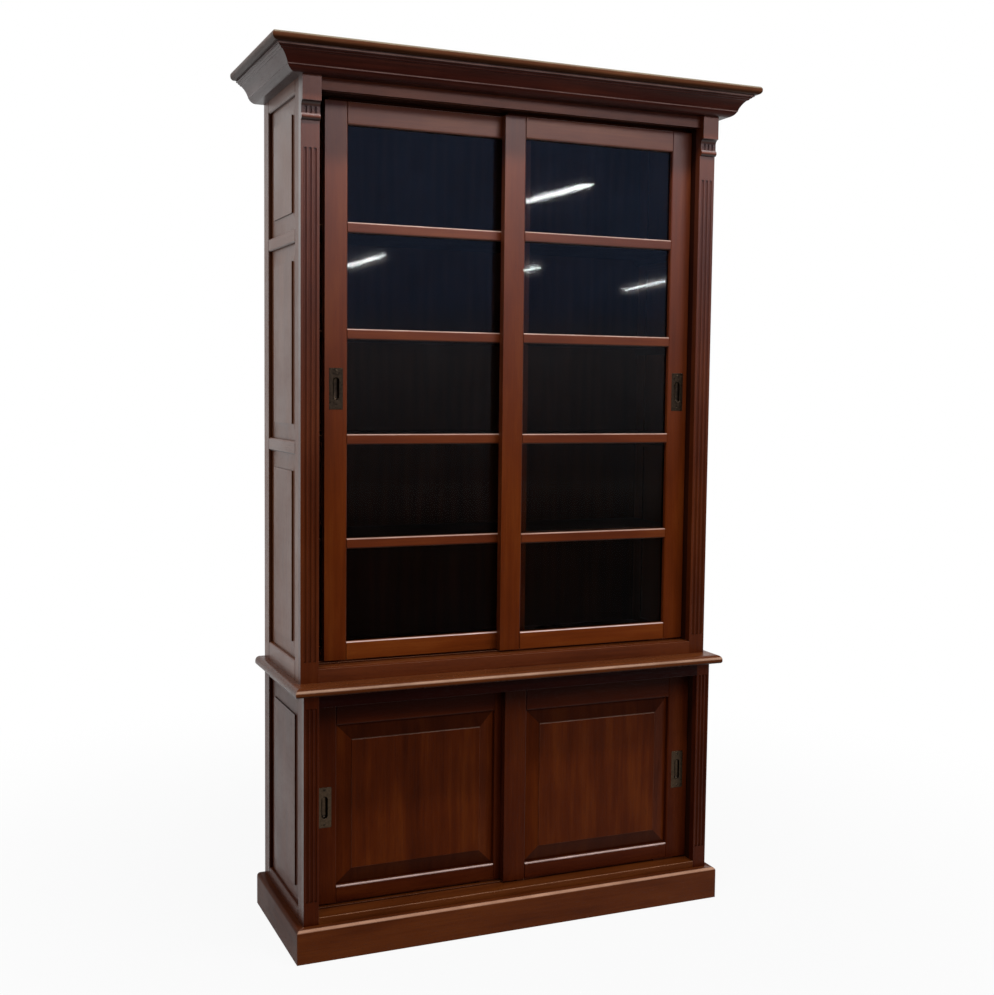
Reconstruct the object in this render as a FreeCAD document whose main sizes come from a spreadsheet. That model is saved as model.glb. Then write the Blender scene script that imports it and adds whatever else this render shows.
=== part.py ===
import FreeCAD, Part
import math
import os

import Sketcher
from FreeCAD import Vector

# Two-part bookcase with sliding doors: glazed above, panelled below.
# Millimetres, +Z up, the front faces -Y. The origin is on the floor, in the middle of the
# cornice's footprint. Every size is a cell of the sheet "Sizes"; all else is worked out from it.

doc = FreeCAD.newDocument("Bookcase")

# ---------------------------------------------------------------- driving dimensions
SIZES = [
    # the two cases
    ("body_width", 1140), ("upper_depth", 366), ("base_depth", 397),
    ("base_height", 571), ("upper_height", 1502),
    ("end_thickness", 22), ("front_thickness", 20), ("board_thickness", 18),
    ("back_thickness", 6), ("back_rebate", 8),
    # plinth
    ("plinth_height", 84), ("plinth_overhang", 22), ("plinth_thickness", 30),
    ("plinth_nose", 9), ("plinth_block", 45), ("plinth_block_drop", 10),
    # framed ends
    ("front_end_stile", 34), ("back_end_stile", 50), ("end_panel", 8),
    ("end_groove", 8), ("end_sticking", 3), ("panel_play", 1),
    ("end_recess", 9), ("end_bevel", 42), ("end_rise", 2.5), ("end_field_step", 3.5),
    ("base_end_foot_rail", 28), ("base_end_head_rail", 27),
    ("upper_end_foot_rail", 46), ("upper_end_head_rail", 86),
    ("end_mid_rail", 32), ("low_mid_rail_level", 554), ("high_mid_rail_level", 1066),
    # pilasters and corbels
    ("base_pilaster", 38), ("upper_pilaster", 46),
    ("flute_count", 3), ("flute_radius", 4), ("flute_depth", 3.2),
    ("base_flute_pitch", 10.5), ("upper_flute_pitch", 12.3),
    ("base_flute_foot", 58), ("base_flute_head", 33),
    ("upper_flute_foot", 51), ("upper_flute_head", 219),
    ("corbel_height", 102), ("corbel_projection", 16), ("corbel_block", 59),
    ("corbel_neck", 12), ("corbel_bead", 15), ("corbel_bead_bulge", 5),
    ("corbel_flute_radius", 2.8), ("corbel_flute_pitch", 11.5),
    # rails, sill and head of the two door openings
    ("base_rail", 33), ("sill_rail", 33), ("frieze_reveal", 29),
    ("guide_depth", 76), ("guide_groove", 8), ("guide_groove_depth", 16),
    ("upper_guide_thickness", 24), ("track_width", 4), ("track_height", 4),
    # waist slab and cornice
    ("waist_thickness", 22), ("waist_overhang", 26), ("waist_top_nose", 12),
    ("waist_under_nose", 6),
    ("crown_height", 54), ("crown_projection", 73), ("crown_soffit", 24),
    ("crown_ovolo_out", 17), ("crown_ovolo_rise", 13), ("crown_ovolo_bulge", 2.7),
    ("crown_quirk", 1.2), ("crown_fillet", 2.5), ("crown_cove_hollow", 2),
    ("crown_reed_out", 5), ("crown_reed_rise", 4), ("crown_reed_bulge", 1.5),
    ("crown_ledge", 4), ("crown_lip", 5),
    ("slab_thickness", 21), ("cornice_overhang", 88), ("slab_top_nose", 8),
    ("slab_under_nose", 10),
    # doors
    ("door_thickness", 22), ("door_setback", 40), ("door_gap", 4), ("jamb_play", 2),
    ("door_foot_gap", 5), ("door_head_gap", 7.5), ("moulding", 4),
    ("upper_stile", 58), ("upper_foot_rail", 45), ("upper_head_rail", 54.5),
    ("upper_overlap", 52), ("upper_left_ajar", 30),
    ("bar_height", 26), ("bar_web", 10), ("bar_count", 4),
    ("glass_lip", 12), ("glass_rebate", 8), ("glass_thickness", 4), ("glass_play", 1),
    ("lower_stile", 62), ("lower_foot_rail", 42), ("lower_head_rail", 57),
    ("lower_overlap", 44),
    ("panel_front", 11.5), ("panel_tongue", 6.5), ("panel_groove", 8), ("panel_bevel", 40),
    ("panel_rise", 6.5), ("field_step", 1.5), ("panel_gap", 0.5),
    ("shoe_length", 60), ("shoe_width", 20), ("shoe_inset", 40), ("shoe_play", 0.5),
    ("strip_thickness", 6), ("strip_height", 16), ("strip_inset", 10), ("floor_clear", 1),
    # flush pulls
    ("pull_width", 35), ("pull_height", 102), ("pull_plate", 1.6), ("pull_proud", 0.6),
    ("cup_width", 16), ("cup_height", 56), ("cup_depth", 9), ("cup_slope", 5),
    ("cup_wall", 1.2), ("pull_play", 0.2), ("upper_pull_level", 677),
    ("lower_pull_level", 246),
    # shelves
    ("shelf_thickness", 20), ("shelf_nose", 5), ("shelf_play", 1), ("shelf_clear", 20),
    ("base_shelf_level", 250), ("bearer_width", 12), ("bearer_height", 18),
]

sheet = doc.addObject("Spreadsheet::Sheet", "Sizes")
for row, (alias, value) in enumerate(SIZES, start=1):
    sheet.set("A%d" % row, alias)
    sheet.set("B%d" % row, str(value))
    sheet.setAlias("B%d" % row, alias)
doc.recompute()


class Dim:
    """A length that carries both its value and the sheet formula it comes from."""

    def __init__(self, value, formula):
        self.value = float(value)
        self.formula = formula

    def __add__(self, other):
        return join(self, "+", other)

    def __radd__(self, other):
        return join(other, "+", self)

    def __sub__(self, other):
        return join(self, "-", other)

    def __rsub__(self, other):
        return join(other, "-", self)

    def __mul__(self, other):
        return join(self, "*", other)

    def __rmul__(self, other):
        return join(other, "*", self)

    def __truediv__(self, other):
        return join(self, "/", other)

    def __neg__(self):
        return join(0, "-", self)


def dim(thing):
    return thing if isinstance(thing, Dim) else Dim(thing, repr(float(thing)))


def join(left, sign, right):
    left, right = dim(left), dim(right)
    value = {"+": lambda a, b: a + b, "-": lambda a, b: a - b,
             "*": lambda a, b: a * b, "/": lambda a, b: a / b}[sign](left.value, right.value)
    return Dim(value, "(%s %s %s)" % (left.formula, sign, right.formula))


class Sheet:
    """The sheet's cells as Dims: S.body_width and so on."""

    def __getattr__(self, alias):
        return Dim(sheet.get(alias), "Sizes." + alias)


S = Sheet()

# ---------------------------------------------------------------- ways to make a piece
CLOSE = 0.01    # two lengths nearer than this are the same
nodes = []      # the finished pieces, each exported under its own Label
cuts = []       # (feature, base) pairs whose volume has to go down


def bind(thing, prop, size):
    thing.setExpression(prop, dim(size).formula)


def place(thing, at):
    for axis, size in zip("xyz", at):
        bind(thing, "Placement.Base." + axis, size)
    return thing


def finish(thing, name):
    thing.Label = name
    nodes.append(thing)
    return thing


def box(size, at):
    piece = doc.addObject("Part::Box", "Box")
    for prop, length in zip(("Length", "Width", "Height"), size):
        bind(piece, prop, length)
    return place(piece, at)


def mirrored(piece, middle=0):
    """The same piece, turned about the plane x = middle."""
    twin = doc.addObject("Part::Mirroring", "Twin")
    twin.Source = piece
    twin.Normal = Vector(1, 0, 0)
    bind(twin, "Base.x", middle)
    return twin


def group(name, pieces):
    """Like pieces that share one node, each a solid of its own."""
    bundle = doc.addObject("Part::Compound", "Group")
    bundle.Links = pieces
    return finish(bundle, name)


def plane_of(body, role):
    return [item for item in body.Origin.OriginFeatures if item.Role == role][0]


def arc_between(start, end, radius):
    """Shorter arc from start to end; a positive radius turns left, a negative one right."""
    chord = end - start
    reach = abs(radius) ** 2 - (chord.Length / 2) ** 2
    side = Vector(-chord.y, chord.x, 0).normalize() * math.sqrt(max(reach, 0))
    centre = (start + end) / 2 + (side if radius > 0 else -side)
    first, last = (start, end) if radius > 0 else (end, start)
    angles = [math.atan2(p.y - centre.y, p.x - centre.x) for p in (first, last)]
    if angles[1] < angles[0]:
        angles[1] += 2 * math.pi
    return Part.ArcOfCircle(Part.Circle(centre, Vector(0, 0, 1), abs(radius)), *angles)


def pin_down(sketch, number, end, spot):
    """Fix a point of the sketch at the distances (u, v) from its origin."""
    for rule, axis, size in (("DistanceX", -2, spot[0]), ("DistanceY", -1, spot[1])):
        if size.formula == "0.0":
            sketch.addConstraint(Sketcher.Constraint("PointOnObject", number, end, axis))
        else:
            slot = sketch.addConstraint(
                Sketcher.Constraint(rule, -1, 1, number, end, size.value))
            bind(sketch, "Constraints[%d]" % slot, size)


def sketch_on(body, role, outlines, shift=None):
    """A fully constrained sketch on an origin plane of the body.

    An outline is a list of corners (u, v); a third value makes the run up to that corner an
    arc of that radius. shift moves the sketch along its own u, v and normal.
    """
    sketch = body.newObject("Sketcher::SketchObject", "Sketch")
    sketch.AttachmentSupport = [(plane_of(body, role), "")]
    sketch.MapMode = "FlatFace"
    for axis, size in zip("xyz", shift or ()):
        bind(sketch, "AttachmentOffset.Base." + axis, size)
    for outline in outlines:
        corners = [(dim(c[0]), dim(c[1])) for c in outline]
        spots = [Vector(u.value, v.value, 0) for u, v in corners]
        runs = []           # (geometry, its start point, its end point) from corner i - 1 to i
        for i, corner in enumerate(outline):
            start, end = spots[i - 1], spots[i]
            if len(corner) == 3:
                radius = dim(corner[2])
                number = sketch.addGeometry(arc_between(start, end, radius.value), False)
                runs.append((number, 1, 2) if radius.value > 0 else (number, 2, 1))
                rule = sketch.addConstraint(
                    Sketcher.Constraint("Radius", number, abs(radius.value)))
                size = radius if radius.value > 0 else -radius
                bind(sketch, "Constraints[%d]" % rule, size)
            else:
                number = sketch.addGeometry(Part.LineSegment(start, end), False)
                runs.append((number, 1, 2))
        for i, (number, _, tail) in enumerate(runs):
            after, head, _ = runs[(i + 1) % len(runs)]
            sketch.addConstraint(Sketcher.Constraint("Coincident", number, tail, after, head))
            pin_down(sketch, number, tail, corners[i])
    return sketch


def new_body(at=(0, 0, 0)):
    return place(doc.addObject("PartDesign::Body", "Body"), at)


def pad(body, role, outlines, length):
    """Extrude towards the plane's positive axis: +Z from XY, +X from YZ, +Y from XZ."""
    feature = body.newObject("PartDesign::Pad", "Pad")
    feature.Profile = sketch_on(body, role, outlines)
    feature.Reversed = role == "XZ_Plane"
    bind(feature, "Length", length)
    body.Tip = feature
    return feature


def pocket(body, role, outlines, depth=None):
    """Cut towards the plane's positive axis, to a depth or right through."""
    base = body.Tip
    feature = body.newObject("PartDesign::Pocket", "Pocket")
    feature.Profile = sketch_on(body, role, outlines)
    feature.Reversed = role != "XZ_Plane"
    if depth is None:
        feature.Type = "ThroughAll"
    else:
        bind(feature, "Length", depth)
    body.Tip = feature
    cuts.append((feature, base))
    return feature


def prism(role, outlines, length, at):
    body = new_body(at)
    pad(body, role, outlines, length)
    return body


def rectangle(width, height, left=0, low=0):
    left, low = dim(left), dim(low)
    right, high = (left + width, low + height)
    return [(left, low), (right, low), (right, high), (left, high)]


def stadium(width, height, middle, centre):
    """An upright slot with round ends, centred at (middle, centre)."""
    r = width / 2
    low, high = centre - height / 2, centre + height / 2
    return [(middle - r, low + r), (middle, low, r), (middle + r, low + r, r),
            (middle + r, high - r), (middle, high, r), (middle - r, high - r, r)]


def bow(across, up, bulge):
    """Radius of the arc that stands out by bulge from its chord (across, up)."""
    across, up = dim(across), dim(up)
    return ((across * across + up * up) / 4 + bulge * bulge) / (bulge * 2)


def round_over(body, radius, chosen):
    """Fillet the edges that the test picks out of the body as it stands."""
    doc.recompute()
    base = body.Tip
    names = ["Edge%d" % (i + 1) for i, edge in enumerate(base.Shape.Edges)
             if chosen(edge.BoundBox)]
    feature = body.newObject("PartDesign::Fillet", "Fillet")
    feature.Base = (base, names)
    bind(feature, "Radius", radius)
    body.Tip = feature
    return feature


# ---------------------------------------------------------------- levels and planes
half_width = S.body_width / 2
back = (S.upper_depth + S.cornice_overhang) / 2
upper_front = back - S.upper_depth
base_front = back - S.base_depth
inner_back = back - S.back_thickness
inside = half_width - S.end_thickness

waist_under = S.plinth_height + S.base_height
waist_top = waist_under + S.waist_thickness
slab_under = waist_top + S.upper_height
soffit = slab_under - S.crown_height

base_sill = S.plinth_height + S.board_thickness
base_head = waist_under - S.base_rail
base_jamb = half_width - S.base_pilaster
upper_sill = waist_top + S.sill_rail
upper_head = soffit - S.frieze_reveal
upper_jamb = half_width - S.upper_pilaster

# how far behind a case's front each door's face stands
front_plane = S.door_setback
rear_plane = front_plane + S.door_thickness + S.door_gap


# ---------------------------------------------------------------- mitred mouldings
def mitre_corners(width, length):
    """Wedges, larger than needed, to cut off both ends of a front length from behind."""
    over, far, beyond = -width, width * 2, length + width
    left = [(over, over), (far, far), (over, far)]
    right = [(beyond, over), (beyond, far), (length - far, far)]
    return [left, right]


def moulded_front(section, width, overhang, front, level):
    """A length along the front whose ends are mitred to meet the returns."""
    length = S.body_width + overhang * 2
    body = prism("YZ_Plane", [section], length, (-half_width - overhang, front - overhang, level))
    pocket(body, "XY_Plane", mitre_corners(width, length))
    return body


def moulded_return(section, width, overhang, front, level):
    """The left return of the same section, mitred in front and square at the back."""
    body = prism("XZ_Plane", [section], back - front + overhang,
                 (-half_width - overhang, front - overhang, level))
    far = width * 2
    pocket(body, "XY_Plane", [[(-width, -width), (far, -width), (far, far)]])
    return body


# ---------------------------------------------------------------- plinth
plinth_section = [
    (0, 0), (S.plinth_thickness, 0), (S.plinth_thickness, S.plinth_height),
    (S.plinth_nose, S.plinth_height), (0, S.plinth_height - S.plinth_nose, S.plinth_nose)]
finish(moulded_front(plinth_section, S.plinth_thickness, S.plinth_overhang, base_front, 0),
       "plinth_front")
plinth_end = moulded_return(plinth_section, S.plinth_thickness, S.plinth_overhang, base_front, 0)
group("plinth_ends", [plinth_end, mirrored(plinth_end)])

plinth_inside = half_width + S.plinth_overhang - S.plinth_thickness
finish(box((plinth_inside * 2, S.end_thickness, S.plinth_height),
           (-plinth_inside, back - S.end_thickness, 0)), "plinth_back")

# glue blocks in the four inner corners, kept off the floor
block_height = S.plinth_height - S.plinth_block_drop
front_block = prism("XY_Plane", [[(0, 0), (S.plinth_block, 0), (0, S.plinth_block)]],
                    block_height,
                    (-plinth_inside, base_front - S.plinth_overhang + S.plinth_thickness,
                     S.plinth_block_drop))
back_block = prism("XY_Plane", [[(0, 0), (0, -S.plinth_block), (S.plinth_block, 0)]],
                   block_height,
                   (-plinth_inside, back - S.end_thickness, S.plinth_block_drop))
group("plinth_blocks", [front_block, back_block, mirrored(front_block), mirrored(back_block)])


# ---------------------------------------------------------------- framed ends
def frame_section(width, low_groove, high_groove, rebate=False):
    """Section of an end's stile or rail: u goes inward from the outer face, v across it.

    An edge with a groove holds the panel and has a chamfered outer arris.
    """
    recess, thick = S.end_recess, S.end_thickness
    cheek = recess + S.end_panel
    corners = []
    if low_groove:
        corners += [(S.end_sticking, 0), (recess, 0), (recess, S.end_groove),
                    (cheek, S.end_groove), (cheek, 0)]
    else:
        corners += [(0, 0)]
    corners += [(thick, 0)]
    if rebate:
        corners += [(thick, width - S.back_thickness),
                    (thick - S.back_rebate, width - S.back_thickness),
                    (thick - S.back_rebate, width)]
    else:
        corners += [(thick, width)]
    if high_groove:
        corners += [(cheek, width), (cheek, width - S.end_groove),
                    (recess, width - S.end_groove), (recess, width),
                    (S.end_sticking, width), (0, width - S.end_sticking)]
    else:
        corners += [(0, width)]
    if low_groove:
        corners += [(0, S.end_sticking)]
    return corners


def fielded_panel(span, tall, tongue, bite, bevel, rise, step, at):
    """Raised and fielded panel that faces -Y: a tongue, four bevels up to a stepped field.

    The local origin is the opening's lower left corner, on the tongue's front face.
    """
    gap = S.panel_gap
    edge = box((span + bite * 2, tongue, tall + bite * 2), (-bite, dim(0), -bite))
    slope = doc.addObject("Part::Wedge", "Bevel")
    for prop, size in (("Ymin", -rise), ("Ymax", dim(0)),
                       ("Xmin", bevel), ("Xmax", span - bevel),
                       ("Zmin", bevel), ("Zmax", tall - bevel),
                       ("X2min", gap), ("X2max", span - gap),
                       ("Z2min", gap), ("Z2max", tall - gap)):
        bind(slope, prop, size)
    field = box((span - bevel * 2, step, tall - bevel * 2), (bevel, -rise - step, bevel))
    panel = doc.addObject("Part::MultiFuse", "Panel")
    panel.Shapes = [edge, slope, field]
    panel.Refine = True
    return place(panel, at)


def framed_ends(prefix, front, foot, height, rails):
    """Both ends of a case: four stiles, the rails listed as (level, height), the panels."""
    outer, stile_front = -half_width, front + S.front_thickness
    front_stile = prism("XY_Plane", [frame_section(S.front_end_stile, False, True)],
                        height, (outer, stile_front, foot))
    back_stile = prism("XY_Plane", [frame_section(S.back_end_stile, True, False, True)],
                       height, (outer, back - S.back_end_stile, foot))
    stiles = [front_stile, back_stile]
    near, far = stile_front + S.front_end_stile, back - S.back_end_stile
    bars, panels = [], []
    for i, (level, rail) in enumerate(rails):
        section = frame_section(rail, i > 0, i < len(rails) - 1)
        bars.append(prism("XZ_Plane", [section], far - near, (outer, near, foot + level)))
    for (low, rail), (high, _) in zip(rails, rails[1:]):
        panel = fielded_panel(far - near, high - low - rail, S.end_panel,
                              S.end_groove - S.panel_play, S.end_bevel, S.end_rise,
                              S.end_field_step, (outer + S.end_recess, far, foot + low + rail))
        panel.Placement.Rotation = FreeCAD.Rotation(Vector(0, 0, 1), -90)
        panels.append(panel)
    for name, pieces in (("stiles", stiles), ("rails", bars), ("panels", panels)):
        group(prefix + "_end_" + name, pieces + [mirrored(piece) for piece in pieces])


framed_ends("base", base_front, S.plinth_height, S.base_height, [
    (dim(0), S.base_end_foot_rail),
    (S.base_height - S.base_end_head_rail, S.base_end_head_rail)])
framed_ends("upper", upper_front, waist_top, S.upper_height, [
    (dim(0), S.upper_end_foot_rail),
    (S.low_mid_rail_level, S.end_mid_rail),
    (S.high_mid_rail_level, S.end_mid_rail),
    (S.upper_height - S.upper_end_head_rail, S.upper_end_head_rail)])


# ---------------------------------------------------------------- fluted pilasters
def pilaster(width, height, pitch, foot, head, at):
    """A post whose face carries stopped flutes: round in section, with round-arched ends."""
    r, depth = S.flute_radius, S.flute_depth
    first = width / 2 - pitch * (S.flute_count - 1) / 2
    long = height - foot - head
    flutes = []
    for i in range(int(round(S.flute_count.value))):
        middle = first + pitch * i
        hollow = doc.addObject("Part::Cylinder", "Hollow")
        bind(hollow, "Radius", r)
        bind(hollow, "Height", long)
        place(hollow, (middle, depth - r, foot))
        arched = prism("XZ_Plane", [stadium(r * 2, long, dim(0), long / 2)], depth * 2,
                       (middle, -depth, foot))
        flute = doc.addObject("Part::MultiCommon", "Flute")
        flute.Shapes = [hollow, arched]
        flutes.append(flute)
    row = doc.addObject("Part::Compound", "Flutes")
    row.Links = flutes
    post = doc.addObject("Part::Cut", "Pilaster")
    post.Base = box((width, S.front_thickness, height), (0, 0, 0))
    post.Tool = row
    cuts.append((post, post.Base))
    return place(post, at)


base_pilaster = pilaster(S.base_pilaster, S.base_height, S.base_flute_pitch, S.base_flute_foot,
                         S.base_flute_head, (-half_width, base_front, S.plinth_height))
group("base_pilasters", [base_pilaster, mirrored(base_pilaster)])
upper_pilaster = pilaster(S.upper_pilaster, S.upper_height, S.upper_flute_pitch,
                          S.upper_flute_foot, S.upper_flute_head,
                          (-half_width, upper_front, waist_top))
group("upper_pilasters", [upper_pilaster, mirrored(upper_pilaster)])

# corbel: plain block, undercut by a cove, fluted neck, bead collar; u = 0 is the block's face
proud, tall, bead_top = S.corbel_projection, S.corbel_height, S.corbel_bead
block_foot, neck = tall - S.corbel_block, S.corbel_neck
neck_top = block_foot - neck
corbel_side = [
    (proud, 0), (proud, tall), (0, tall), (0, block_foot), (neck, neck_top, -neck),
    (neck, bead_top), (neck, 0, bow(0, bead_top, S.corbel_bead_bulge))]
corbel = prism("YZ_Plane", [corbel_side], S.upper_pilaster,
               (-half_width, upper_front - proud, soffit - tall))

# its short flutes run from the cove down to the bead
neck_base, flute_r = corbel.Tip, S.corbel_flute_radius
corbel_flute = corbel.newObject("PartDesign::Groove", "Flute")
corbel_flute.Profile = sketch_on(
    corbel, "YZ_Plane", [rectangle(flute_r, neck_top - bead_top, 0, bead_top)],
    (neck, 0, S.upper_pilaster / 2 - S.corbel_flute_pitch * (S.flute_count - 1) / 2))
corbel_flute.ReferenceAxis = (corbel_flute.Profile[0], ["V_Axis"])
corbel_flute.Angle = 360
corbel.Tip = corbel_flute
cuts.append((corbel_flute, neck_base))
flute_row = corbel.newObject("PartDesign::LinearPattern", "Flutes")
flute_row.Originals = [corbel_flute]
flute_row.Direction = (plane_of(corbel, "X_Axis"), [""])
bind(flute_row, "Length", S.corbel_flute_pitch * (S.flute_count - 1))
bind(flute_row, "Occurrences", S.flute_count)
corbel.Tip = flute_row
cuts.append((flute_row, corbel_flute))
group("corbels", [corbel, mirrored(corbel)])

# ---------------------------------------------------------------- base case inside
# the floor's lip comes forward between the pilasters and shows above the plinth
lip, shelf_front = S.front_thickness, S.front_thickness + S.guide_depth
floor_depth = inner_back - base_front
base_floor = prism("XY_Plane", [[
    (inside - base_jamb, 0), (inside + base_jamb, 0), (inside + base_jamb, lip),
    (inside * 2, lip), (inside * 2, floor_depth), (0, floor_depth), (0, lip),
    (inside - base_jamb, lip)]],
    S.board_thickness, (-inside, base_front, S.plinth_height))
finish(base_floor, "base_floor")

finish(box((base_jamb * 2, S.front_thickness, S.base_rail),
           (-base_jamb, base_front, base_head)), "base_top_rail")


def head_guide(thickness, front, head):
    """The board over a pair of doors, ploughed with a groove for each."""
    half_groove, ploughed = S.guide_groove / 2, []
    for plane in (front_plane, rear_plane):
        middle = plane + S.door_thickness / 2 - S.front_thickness
        near, far = middle - half_groove, middle + half_groove
        ploughed += [(near, 0), (near, S.guide_groove_depth),
                     (far, S.guide_groove_depth), (far, 0)]
    section = [(0, 0)] + ploughed + [(S.guide_depth, 0), (S.guide_depth, thickness),
                                     (0, thickness)]
    return prism("YZ_Plane", [section], inside * 2,
                 (-inside, front + S.front_thickness, head))


finish(head_guide(S.base_rail, base_front, base_head), "base_head_guide")

tracks, linings = [], []
for front, sill, head, jamb in ((base_front, base_sill, base_head, base_jamb),
                                (upper_front, upper_sill, upper_head, upper_jamb)):
    for plane in (front_plane, rear_plane):
        tracks.append(box(
            (jamb * 2, S.track_width, S.track_height),
            (-jamb, front + plane + S.door_thickness / 2 - S.track_width / 2, sill)))
    lining = box((inside - jamb, S.guide_depth, head - sill),
                 (-inside, front + S.front_thickness, sill))
    linings += [lining, mirrored(lining)]
group("door_tracks", tracks)
group("jamb_linings", linings)

finish(box(((inside + S.back_rebate) * 2, S.back_thickness, S.base_height),
           (-inside - S.back_rebate, inner_back, S.plinth_height)), "base_back")


# ---------------------------------------------------------------- shelves
def shelf_board(front, level):
    """A board with a rounded front edge; level is its underside."""
    r, thick = S.shelf_nose, S.shelf_thickness
    deep = inner_back - front - shelf_front - S.shelf_clear
    outline = [(r, 0, r), (deep, 0), (deep, thick), (r, thick), (0, thick - r, r), (0, r)]
    return prism("YZ_Plane", [outline], (inside - S.shelf_play) * 2,
                 (-inside + S.shelf_play, front + shelf_front + S.shelf_clear, level))


def bearer(front, level):
    """The strip under a shelf's left end, from the jamb lining to the back."""
    return box((S.bearer_width, inner_back - front - shelf_front, S.bearer_height),
               (-inside, front + shelf_front, level - S.bearer_height))


# panes are equal, so the bars' centres follow from the door's glazed height
upper_door_foot = upper_sill + S.door_foot_gap
upper_door_height = upper_head - S.door_head_gap - upper_door_foot
glazed_foot = upper_door_foot + S.upper_foot_rail
glazed_height = upper_door_height - S.upper_foot_rail - S.upper_head_rail
bar_count = int(round(S.bar_count.value))
pane_height = (glazed_height - S.bar_height * S.bar_count) / (S.bar_count + 1)


def bar_foot(i):
    return glazed_foot + pane_height * (i + 1) + S.bar_height * i


base_shelf_under = base_sill + S.base_shelf_level
bearers = [bearer(base_front, base_shelf_under)]
finish(shelf_board(base_front, base_shelf_under), "base_shelf")

upper_shelves = []
for i in range(bar_count):
    under = bar_foot(i) + S.bar_height / 2 - S.shelf_thickness / 2
    upper_shelves.append(shelf_board(upper_front, under))
    bearers.append(bearer(upper_front, under))
group("upper_shelves", upper_shelves)
group("shelf_bearers", bearers + [mirrored(piece) for piece in bearers])


# ---------------------------------------------------------------- slabs with rounded edges
def round_edged_slab(overhang, front, level, thickness, top_nose, under_nose):
    wide, deep = S.body_width + overhang * 2, back - front + overhang
    body = prism("XY_Plane", [rectangle(wide, deep)], thickness,
                 (-half_width - overhang, front - overhang, level))
    for nose, height in ((top_nose, thickness), (under_nose, dim(0))):
        round_over(body, nose, lambda b, z=height.value: (
            max(abs(b.ZMin - z), abs(b.ZMax - z)) < CLOSE and b.YMin < deep.value - 1))
    return body


finish(round_edged_slab(S.waist_overhang, base_front, waist_under, S.waist_thickness,
                        S.waist_top_nose, S.waist_under_nose), "waist_slab")

# ---------------------------------------------------------------- upper case inside
upper_deep = inner_back - upper_front - S.front_thickness
finish(box((inside * 2, upper_deep, S.board_thickness),
           (-inside, upper_front + S.front_thickness, upper_sill - S.board_thickness)),
       "upper_floor")
finish(box((upper_jamb * 2, S.front_thickness, S.sill_rail),
           (-upper_jamb, upper_front, waist_top)), "sill_rail")
finish(box((upper_jamb * 2, S.front_thickness, slab_under - upper_head),
           (-upper_jamb, upper_front, upper_head)), "frieze_rail")
finish(head_guide(S.upper_guide_thickness, upper_front, upper_head), "upper_head_guide")
finish(box((inside * 2, upper_deep, S.board_thickness),
           (-inside, upper_front + S.front_thickness, upper_head + S.upper_guide_thickness)),
       "upper_top_board")
finish(box(((inside + S.back_rebate) * 2, S.back_thickness, S.upper_height),
           (-inside - S.back_rebate, inner_back, waist_top)), "upper_back")

# ---------------------------------------------------------------- cornice
# crown: soffit, ovolo, fillet, cove, two reeds, ledge and lip; u = 0 is its outermost line
out, high = S.crown_projection, S.crown_height
ovolo_top = out - S.crown_soffit - S.crown_ovolo_out
cove_foot = S.crown_ovolo_rise + S.crown_fillet
reed_foot = high - S.crown_lip
reed_out, reed_rise = S.crown_reed_out, S.crown_reed_rise
reed_radius = bow(reed_out, reed_rise, S.crown_reed_bulge)
cove_out, cove_top = S.crown_ledge + reed_out * 2, reed_foot - reed_rise * 2
cove_radius = bow(ovolo_top - S.crown_quirk - cove_out, cove_top - cove_foot,
                  S.crown_cove_hollow)
crown_section = [
    (out, 0), (out, high), (0, high), (0, reed_foot), (S.crown_ledge, reed_foot),
    (S.crown_ledge + reed_out, reed_foot - reed_rise, reed_radius),
    (cove_out, cove_top, reed_radius),
    (ovolo_top - S.crown_quirk, cove_foot, -cove_radius),
    (ovolo_top - S.crown_quirk, S.crown_ovolo_rise), (ovolo_top, S.crown_ovolo_rise),
    (out - S.crown_soffit, 0,
     bow(S.crown_ovolo_out, S.crown_ovolo_rise, S.crown_ovolo_bulge))]
crown_front = moulded_front(crown_section, out, out, upper_front, soffit)
crown_return = moulded_return(crown_section, out, out, upper_front, soffit)
group("cornice_crown", [crown_front, crown_return, mirrored(crown_return)])
finish(round_edged_slab(S.cornice_overhang, upper_front, slab_under, S.slab_thickness,
                        S.slab_top_nose, S.slab_under_nose), "cornice_slab")


# ---------------------------------------------------------------- doors
def glazed_section(width, low_edge, high_edge, web=None):
    """Stile, rail or bar of a glazed door: u runs from its face back, v across it.

    A worked edge has an ovolo in front and a rebate for the glass behind.
    """
    r, thick, lip = S.moulding, S.door_thickness, S.glass_lip
    low_web = S.glass_rebate if web is None else (width - web) / 2
    corners = []
    if low_edge:
        corners += [(r, 0, r), (lip, 0), (lip, low_web), (thick, low_web)]
    else:
        corners += [(0, 0), (thick, 0)]
    if high_edge:
        corners += [(thick, width - low_web), (lip, width - low_web), (lip, width),
                    (r, width), (0, width - r, r)]
    else:
        corners += [(thick, width), (0, width)]
    if low_edge:
        corners += [(0, r)]
    return corners


def panel_section(width, low_edge, high_edge):
    """The same for a panelled door, with a groove for the panel's tongue."""
    r, thick = S.moulding, S.door_thickness
    near, far, deep = S.panel_front, S.panel_front + S.panel_tongue, S.panel_groove
    corners = []
    if low_edge:
        corners += [(r, 0, r), (near, 0), (near, deep), (far, deep), (far, 0), (thick, 0)]
    else:
        corners += [(0, 0), (thick, 0)]
    if high_edge:
        corners += [(thick, width), (far, width), (far, width - deep), (near, width - deep),
                    (near, width), (r, width), (0, width - r, r)]
    else:
        corners += [(thick, width), (0, width)]
    if low_edge:
        corners += [(0, r)]
    return corners


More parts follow.
